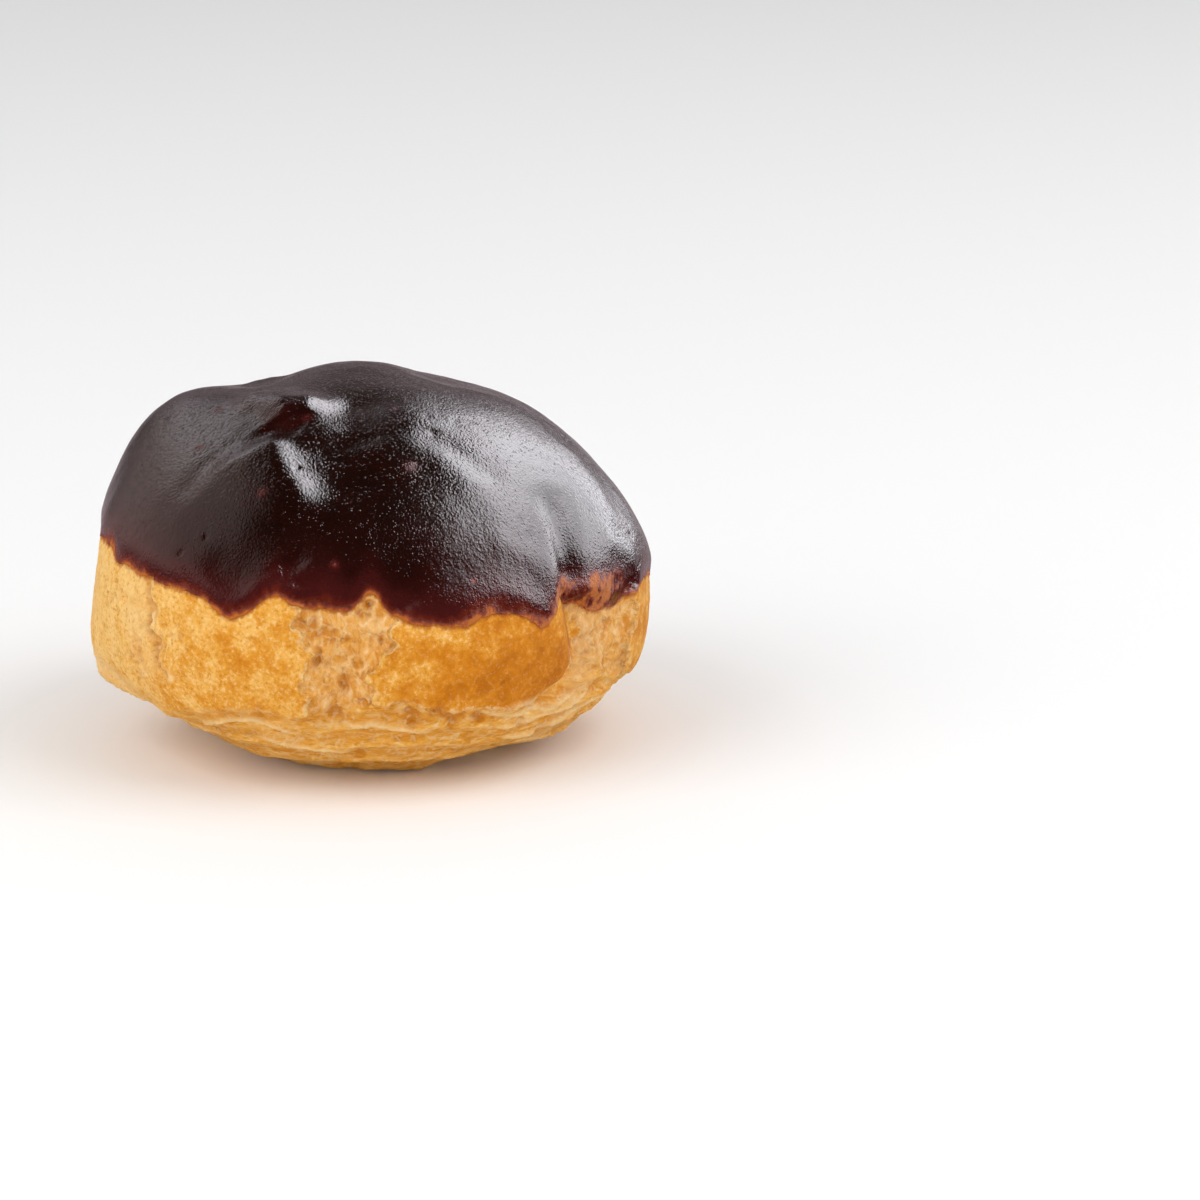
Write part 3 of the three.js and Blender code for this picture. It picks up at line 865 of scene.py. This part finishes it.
swirl = add(tree, "TexNoise", inputs={"Scale": MM_SCALE / 0.9, "Detail": 3.0}, links={"Vector": place})
swirled = add(
    tree,
    "VectorMath",
    operation="MULTIPLY_ADD",
    inputs={1: (0.0011, 0.0011, 0.0016)},
    links={0: swirl.outputs["Color"], 2: place},
)
walls = add(
    tree,
    "TexVoronoi",
    feature="DISTANCE_TO_EDGE",
    inputs={"Scale": MM_SCALE / 1.25},
    links={"Vector": swirled.outputs[0]},
)
wisps = step_between(tree, walls.outputs["Distance"], 0.2, 0.0)
wisps = maths(tree, "MULTIPLY", wisps, step_between(tree, spots(0.8, 3.0), 0.42, 0.62))
print("with both skins,", len(tree.nodes), "nodes")

# %% Lay plates, skin, painted shade in hollows, lips and stains over each other
fray = maths(tree, "MULTIPLY", maths(tree, "SUBTRACT", spots(0.6, 4.0, 0.65), 0.5), 1.4)
fine_edge = maths(tree, "ADD", kept(tree, "edge"), fray)
off_plate = step_between(tree, fine_edge, 0.06, -0.1)
faded_hem = step_between(tree, fine_edge, 1.2, -2.6)
off_plate = mix(tree, kept(tree, "crisp"), faded_hem, off_plate)
between = mix(tree, kept(tree, "under"), torn_colour, stretched_colour)
# The hollows are painted darker orange: painted shade.
hollow_shade_share = maths(tree, "MULTIPLY", kept(tree, "painted_hollow_shade"), 0.6)
between = mix(tree, hollow_shade_share, between, "#c26e12")
between = mix(tree, maths(tree, "MULTIPLY", wisps, 0.45), between, "#f6d6a0")
colour = mix(tree, off_plate, plate_colour, between)
near_edge = maths(tree, "ABSOLUTE", maths(tree, "SUBTRACT", fine_edge, 0.2))
pale_lip = step_between(tree, near_edge, 0.3, 0.02, 0.0, 0.6)
pale_lip = maths(tree, "MULTIPLY", pale_lip, kept(tree, "crisp"))
pale_lip = maths(tree, "MULTIPLY", pale_lip, step_between(tree, spots(1.3, 2.0), 0.42, 0.58, 0.15, 1.0))
colour = mix(tree, pale_lip, colour, "#f4d298")
colour = mix(tree, maths(tree, "MULTIPLY", kept(tree, "lip"), 0.6), colour, "#f6d8a2")
rosy_tint = maths(tree, "MULTIPLY", kept(tree, "rosy"), 0.5)
colour = mix(tree, rosy_tint, colour, "#ecc898")

soak = maths(tree, "ADD", kept(tree, "below_glaze"), maths(tree, "MULTIPLY", fray, 0.8))
stain = step_between(tree, soak, 0.55, 0.0, 0.0, 0.8)
colour = mix(tree, stain, colour, "#a6561a")
colour = mix(tree, maths(tree, "MULTIPLY", kept(tree, "trickle"), 0.7), colour, "#9c5020")
tree.links.new(colour, skin.inputs["Base Color"])
print("with lips and stains,", len(tree.nodes), "nodes")

# %% Its dry, matt surface
skin.inputs["Roughness"].default_value = 0.7
skin.inputs["IOR"].default_value = 1.4
skin.inputs["Specular IOR Level"].default_value = 0.1
skin.inputs["Subsurface Weight"].default_value = 0.12
skin.inputs["Subsurface Radius"].default_value = (1.0, 0.5, 0.2)
skin.inputs["Subsurface Scale"].default_value = 0.0012

crumbs = add(tree, "Bump", inputs={"Strength": 0.9, "Distance": 0.00026}, links={"Height": crumb})
fibre_height = mix(tree, kept(tree, "under"), torn_grain, stretched_grain)
fibre_height = maths(tree, "ADD", fibre_height, maths(tree, "MULTIPLY", wisps, 0.35))
fibre_height = maths(tree, "MULTIPLY", fibre_height, off_plate)
fibres = add(
    tree,
    "Bump",
    inputs={"Strength": 0.65, "Distance": 0.00035},
    links={"Height": fibre_height, "Normal": crumbs.outputs[0]},
)
tree.links.new(fibres.outputs[0], skin.inputs["Normal"])
bun.data.materials.append(crust)
print("crust material has", len(tree.nodes), "nodes")

# %% [markdown]
# ## Shaping the glaze
# The glaze is a skin of chocolate, nearly 2 mm deep over the crown and thinned out to a stain at its
# edge. While it set, it sagged into soft ridges and hollows, a flap was pinched up near the crown, and
# bubbles left pinholes. It starts as half an icosphere: the ball is bisected at its equator, and the
# rim is then moved to the ragged glaze line, so that the edge follows it exactly. Solidify gives the
# skin its inner side, which is laid on the crust.
# %% Describe ridges, the pinch, thin spots, a painted sheen on the flap, and pinholes
STROKES = [  # azimuth and elevation along each, width on its two sides in degrees, rise in mm
    ([(-66, 59), (-60, 61)], 4.0, 4.0, 1.1),
    ([(-44, 60), (-38, 63)], 4.0, 4.0, 1.4),
    ([(-8, 66), (-6, 58)], 6.0, 6.0, -0.7),
    ([(-44, 50), (-38, 47), (-33, 44), (-28.5, 40.5), (-23.5, 36), (-18, 31.5), (-13, 27)], 2.6, 9.0, 1.08),
    ([(-20, 54), (-17, 50), (-14, 46), (-12, 43), (-8, 37), (-5, 32), (-2, 27)], 8.0, 5.0, -0.9),
    ([(-52, 30), (-50.5, 37)], 2.6, 2.6, -0.25),
    ([(-34, 14), (-30, 12)], 3.2, 3.2, -0.4),
    ([(-19, 19), (-16, 15)], 2.2, 2.6, -0.5),
    ([(-4, 17), (-1, 13)], 2.0, 2.2, -0.45),
    ([(24, 50), (29, 45), (32.5, 39), (36, 35.5)], 2.2, 2.2, -0.14),
    ([(20, 42), (26, 37), (30, 30), (33, 24)], 3.2, 3.2, 0.12),
    ([(31, 18.5), (36, 15.5), (41, 12)], 2.4, 2.4, 0.25),
    ([(44.2, 27.5), (44.6, 25)], 1.4, 1.4, -0.08),
    ([(51, 31), (49, 26), (47.6, 20), (46.4, 14), (45.6, 9), (45.4, 2)], 2.6, 2.3, -0.8),
    ([(49, 9.5), (54, 8.5), (61, 5.5)], 2.0, 2.0, -0.2),
    ([(84, 34), (79, 25), (77, 21)], 3.5, 3.5, -0.25),
    ([(62, 13), (69, 9)], 2.0, 2.0, 0.25),
    ([(-117, 57), (-120, 59)], 2.4, 2.4, 0.45),
    ([(140, 34), (138, 8)], 4.0, 4.0, -0.8),
    ([(-158, 30), (-165, 12)], 4.0, 4.0, -0.6),
]
PINCH = [(-52, 49), (-45.5, 52.4), (-40.5, 56), (-35.5, 59.2), (-30, 60.4), (-24, 60)]  # its lip
THIN_SPOTS_AND_FLAP_SHEEN = [  # azimuth, elevation, reach in degrees, how thin
    (13.2, 40.8, 1.15, 0.68), (-28, 31.8, 0.7, 0.68), (-8, 17.3, 0.7, 0.5), (22, 12.5, 0.4, 0.5),
    (16, 64, 0.7, 0.5), (-61, 39.8, 0.8, 0.5), (-75, 50, 0.9, 0.5), (-30, 57.6, 1.1, 0.45),
    # The wide, faint spot at -39, 55 lightens the glaze over the pinch's flap: a painted sheen on its face.
    (-39, 55, 3.0, 0.2), (52.5, 7, 3.4, 0.6), (56, 4.5, 3.2, 0.6), (60.5, 7, 2.6, 0.45),
    (64, 5, 2.4, 0.4), (-71, 12, 2.6, 0.45), (43, 4.5, 3.0, 0.7), (45.5, 8.5, 2.2, 0.5),
    (-84, 13, 3.0, 0.37), (26, 9, 11, 0.33), (-12, 13, 6, 0.23), (-30, 10, 5, 0.19),
    (-60, 15, 9, 0.16),
]  # fmt: skip
PINHOLES = [  # azimuth and elevation
    (29.3, 58.2), (39.9, 60.7), (40.2, 54.6), (47.8, 52.7), (26.5, 51.7), (-21.8, 39.8),
    (37.8, 23.5), (38, 19.5), (73, 12.1), (52.7, 26.1), (-39.3, 20.4), (-44.2, 16.2),
    (-88, 39.4), (120, 40), (150, 55), (-150, 45), (-170, 25), (100, 22), (-120, 30),
]  # fmt: skip
print(len(STROKES), "strokes,", len(THIN_SPOTS_AND_FLAP_SHEEN), "thin spots and", len(PINHOLES), "pinholes")

# %% Measure along strokes and along the pinch
def along_path(dirs, course):
    """Angle to a line drawn over the dome, how far along it, and 1 on its left or -1 on its right."""
    angle = np.full(len(dirs), 1e9)
    along = np.zeros(len(dirs))
    side = np.zeros(len(dirs))
    for i, (start, end) in enumerate(zip(course, course[1:])):
        start, end = direction(*start), direction(*end)
        way = end - start
        share = np.clip((dirs - start) @ way / (way @ way), 0, 1)
        nearest = start + share[:, None] * way
        nearest /= np.linalg.norm(nearest, axis=1)[:, None]
        here = np.degrees(np.arccos(np.clip((dirs * nearest).sum(1), -1, 1)))
        nearer = here < angle
        angle = np.where(nearer, here, angle)
        along = np.where(nearer, (i + share) / (len(course) - 1), along)
        side = np.where(nearer, np.sign(dirs @ np.cross(start, end)), side)
    return angle, along, side


def stroke_relief(dirs):
    total = np.zeros(len(dirs))
    for course, left, right, rise in STROKES:
        angle, along, side = along_path(dirs, course)
        ends = 1 if left == right else ramp(along, 0, 0.3) * (1 - ramp(along, 0.7, 1))
        total += rise * bell(angle, np.where(side > 0, left, right)) * ends
    return total


def pinch(dirs):
    """How far each point lies in front of the pinch's lip in degrees, and how open the pinch is there."""
    angle, _, side = along_path(dirs, PINCH)
    azimuth = np.degrees(np.arctan2(dirs[:, 0], -dirs[:, 1]))
    return -angle * side, ramp(azimuth, -48, -40) * (1 - ramp(azimuth, -33, -27))


lip_middle = direction(*PINCH[3])[None, :]
print("the pinch is", pinch(lip_middle)[1][0].round(2), "open at the middle of its lip")

# %% Start the glaze from half a ball
RIM_ZONE = 13  # degrees above the rim where the mesh is made finer
RIM_EDGE = 2  # and the lowest of them, where it is made finer once more
PINCH_ZONE = (-31, 49)  # azimuth and elevation in the middle of the pinch
PINCH_REACH = (26, 19)  # degrees to its sides and up and down

glaze = start_ball("poured_glaze")
edit(
    glaze,
    (bpy.ops.mesh.select_all, dict(action="SELECT")),
    (bpy.ops.mesh.bisect, dict(plane_co=(0, 0, 0), plane_no=(0, 0, 1), clear_inner=True)),
)
for zone in (RIM_ZONE, RIM_EDGE):
    centres = face_centres(glaze)
    near_rim = elevations(centres) < zone
    aside = np.abs(np.degrees(np.arctan2(centres[:, 0], -centres[:, 1])) - PINCH_ZONE[0])
    above = np.abs(elevations(centres) - PINCH_ZONE[1])
    pinched = (aside < PINCH_REACH[0]) & (above < PINCH_REACH[1]) & (zone == RIM_ZONE)
    select_faces(glaze, near_rim | pinched)
    edit(glaze, (bpy.ops.mesh.subdivide, dict(number_cuts=1, ngon=False)))
print("glaze skin has", len(glaze.data.polygons), "faces")

# %% Move its rim to the glaze line
ball = vertices(glaze)
azimuth = np.degrees(np.arctan2(ball[:, 0], -ball[:, 1]))
level = np.stack([np.sin(azimuth * DEGREE), -np.cos(azimuth * DEGREE), 0 * azimuth], 1)
rim_height = ragged_line(azimuth) - HEART[2]
rim = np.degrees(np.arctan2(rim_height, form(level)))
for _ in range(4):  # the form's radius changes with the angle, so the angle is found in rounds
    lifted = np.cos(rim * DEGREE)[:, None] * level
    lifted[:, 2] = np.sin(rim * DEGREE)
    rim = np.degrees(np.arcsin(np.clip(rim_height / form(lifted), -1, 1)))
tilted = rim + (90 - rim) * np.clip(elevations(ball), 0, 90) / 90
dirs = np.cos(tilted * DEGREE)[:, None] * level
dirs[:, 2] = np.sin(tilted * DEGREE)
print("rim between", rim.min().round(1), "and", rim.max().round(1), "degrees")

# %% Raise it over the crust
FILM = 0.06
INTO_CRUST = 0.12  # mm that the inner side dips into the crust, so that no gap shows
EDGE_PROUD = 0.5
EDGE_FOLLOWS = 0.75
EDGE_SWELLS_OVER = 2.6
POCKET_DEPTH = 0.4
FLAP_RISE = 0.26
FLAP_HANGS = 0.2
FLAP_HANGS_TOWARDS = np.array([0.25, -0.75, -0.62])
PINHOLE_DEPTH = 0.22

at = Place(dirs)
_, to_tear, _ = plate_edges(at)
relief = soft_relief(at, to_tear)
up = at.height - ragged_line(at.azimuth)
full = fullness(at)
crust_top = at.radius - relief * (1 - full)
proud = (EDGE_PROUD - EDGE_FOLLOWS * relief) * (1 - full)
in_front, opened = pinch(dirs)
pocket = POCKET_DEPTH * opened * ramp(in_front, 0, 1.3) * (1 - ramp(in_front, 3.5, 13))
flap = FLAP_RISE * opened * bell(in_front + 0.6, 1.1)
top = at.radius + proud + (stroke_relief(dirs) + flap - pocket) * ramp(full, 0, 0.5)
top += (0.1 * lumps(at.points, 5.0, 41) + 0.04 * lumps(at.points, 1.8, 43)) * full
for hole in PINHOLES:
    top -= PINHOLE_DEPTH * bell(degrees_between(dirs, direction(*hole)), 0.42)
smooth_up = at.height - glaze_line(at.azimuth)
swell = ramp(smooth_up, -0.2, EDGE_SWELLS_OVER)
outer = (1 - swell) * (crust_top + FILM) + swell * top

points = HEART + dirs * outer[:, None]
points += FLAP_HANGS_TOWARDS * (FLAP_HANGS * opened * bell(in_front + 0.2, 0.7))[:, None]
inner = HEART + dirs * (crust_top - bed_depth(full, up) - INTO_CRUST)[:, None]
write_vertices(glaze, points)
calm = ramp(smooth_up, 0.1, 1.2)
write_value(glaze, "film", np.minimum(5, (1 - calm) * up + calm * smooth_up))
# Thin places of the glaze, and over the pinch's flap a painted sheen, kept for the material.
thin = sum(much * bell(degrees_between(dirs, direction(a, e)), reach) for a, e, reach, much in THIN_SPOTS_AND_FLAP_SHEEN)
write_value(glaze, "thin", np.clip(thin, 0, 1))
print("glaze top at", points[:, 2].max().round(2), "mm")

# %% Give it an inner side
bpy.ops.object.select_all(action="DESELECT")
glaze.select_set(True)
bpy.context.view_layer.objects.active = glaze
wall = glaze.modifiers.new("inner side", "SOLIDIFY")
wall.thickness = 0.3 * MM
wall.offset = -1
bpy.ops.object.modifier_apply(modifier=wall.name)
shell = vertices(glaze)
shell[len(inner) : 2 * len(inner)] = inner * MM
write_vertices(glaze, shell / MM)
glaze.data.shade_smooth()
print("glaze has", len(glaze.data.polygons), "faces", len(shell), "vertices for", len(inner))

# %% [markdown]
# ## The glaze's finish
# Chocolate glaze is nearly black where it is deep. Where it thins out, light comes back from the crust
# through it, so it turns maroon and then orange-brown at the very edge. It dried with a fine pebbled
# skin, like the peel of an orange but ten times finer, which breaks up every reflection at its border.
# %% Material: chocolate glaze, its colour
BLACK_AT = 8.0  # depth at the far end of the colour ramp

chocolate, tree, coat = new_material("poured chocolate glaze")
place = add(tree, "TexCoord").outputs["Object"]
feather = maths(tree, "SUBTRACT", spots(0.8, 4.0, 0.65), 0.5)
clouds = maths(tree, "SUBTRACT", spots(3.0, 3.0), 0.5)
thinness = maths(tree, "POWER", maths(tree, "SUBTRACT", 1.0, kept(tree, "thin")), 2.0)
fibrous = spots(0.8, 5.0, 0.65, (1, 1, 0.45))
streaks = maths(tree, "MULTIPLY", maths(tree, "SUBTRACT", fibrous, 0.5), kept(tree, "thin"))
depth = maths(tree, "MULTIPLY", kept(tree, "film"), thinness)
depth = maths(tree, "ADD", depth, maths(tree, "MULTIPLY", streaks, 4.0))
depth = maths(tree, "ADD", depth, maths(tree, "MULTIPLY", feather, 0.9))
depth = maths(tree, "ADD", depth, maths(tree, "MULTIPLY", clouds, 1.6))
glaze_colour = add(
    tree,
    "ValToRGB",
    links={"Fac": maths(tree, "MULTIPLY", depth, 1 / BLACK_AT)},
    stops=[
        (0.0, "#b4600f"),
        (0.02, "#953e0c"),
        (0.05, "#68200c"),
        (0.12, "#441210"),
        (0.36, "#2b0906"),
        (0.65, "#170502"),
    ],
).outputs[0]
specks = step_between(tree, spots(0.28, 0.0), 0.82, 0.87)
glaze_colour = mix(tree, maths(tree, "MULTIPLY", specks, 0.5), glaze_colour, "#7a3018")
tree.links.new(glaze_colour, coat.inputs["Base Color"])
print("glaze colour takes", len(tree.nodes), "nodes")

# %% Its wet, pebbled surface
GRAIN = 0.28  # mm from pebble to pebble

matt_edge = step_between(tree, depth, 0.7, 0.05, 0.17, 0.8)
tree.links.new(matt_edge, coat.inputs["Roughness"])
coat.inputs["IOR"].default_value = 1.5
coat.inputs["Specular IOR Level"].default_value = 0.48
coat.inputs["Coat Weight"].default_value = 0.08
coat.inputs["Coat Roughness"].default_value = 0.1
pebbles = add(tree, "TexVoronoi", inputs={"Scale": MM_SCALE / GRAIN}, links={"Vector": place})
domes = step_between(tree, pebbles.outputs["Distance"], 0.5, 0.05)
thin_relief = maths(tree, "MULTIPLY", streaks, 8.0)  # the crust's fibres under the thinnest glaze
domes = maths(tree, "MULTIPLY", domes, step_between(tree, spots(0.5, 2.0), 0.4, 0.76, 0.15, 0.85))
pebbled = add(
    tree,
    "Bump",
    inputs={"Strength": 0.9, "Distance": 0.00007},
    links={"Height": maths(tree, "ADD", maths(tree, "ADD", spots(GRAIN, 2.0, 0.5), domes), thin_relief)},
)
tree.links.new(pebbled.outputs[0], coat.inputs["Normal"])
tree.links.new(pebbled.outputs[0], coat.inputs["Coat Normal"])
glaze.data.materials.append(chocolate)
print("glaze material has", len(tree.nodes), "nodes")

# %% [markdown]
# ## Hand the pieces over
# Each piece takes the place of the solid that it was made after, which is hidden, and rides on the
# same body. The two boxes are kept, to see that the size hasn't changed.
for piece, node, slot in ((bun, "choux_bun", "crust"), (glaze, "chocolate_glaze", "glaze")):
    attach(piece, "root")
    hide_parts(node)

seen_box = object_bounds()
for corner, was, now in zip(("lowest", "highest"), cad_box, seen_box):
    print(corner, "CAD", [round(v * 1000, 2) for v in was], "visual", [round(v * 1000, 2) for v in now])
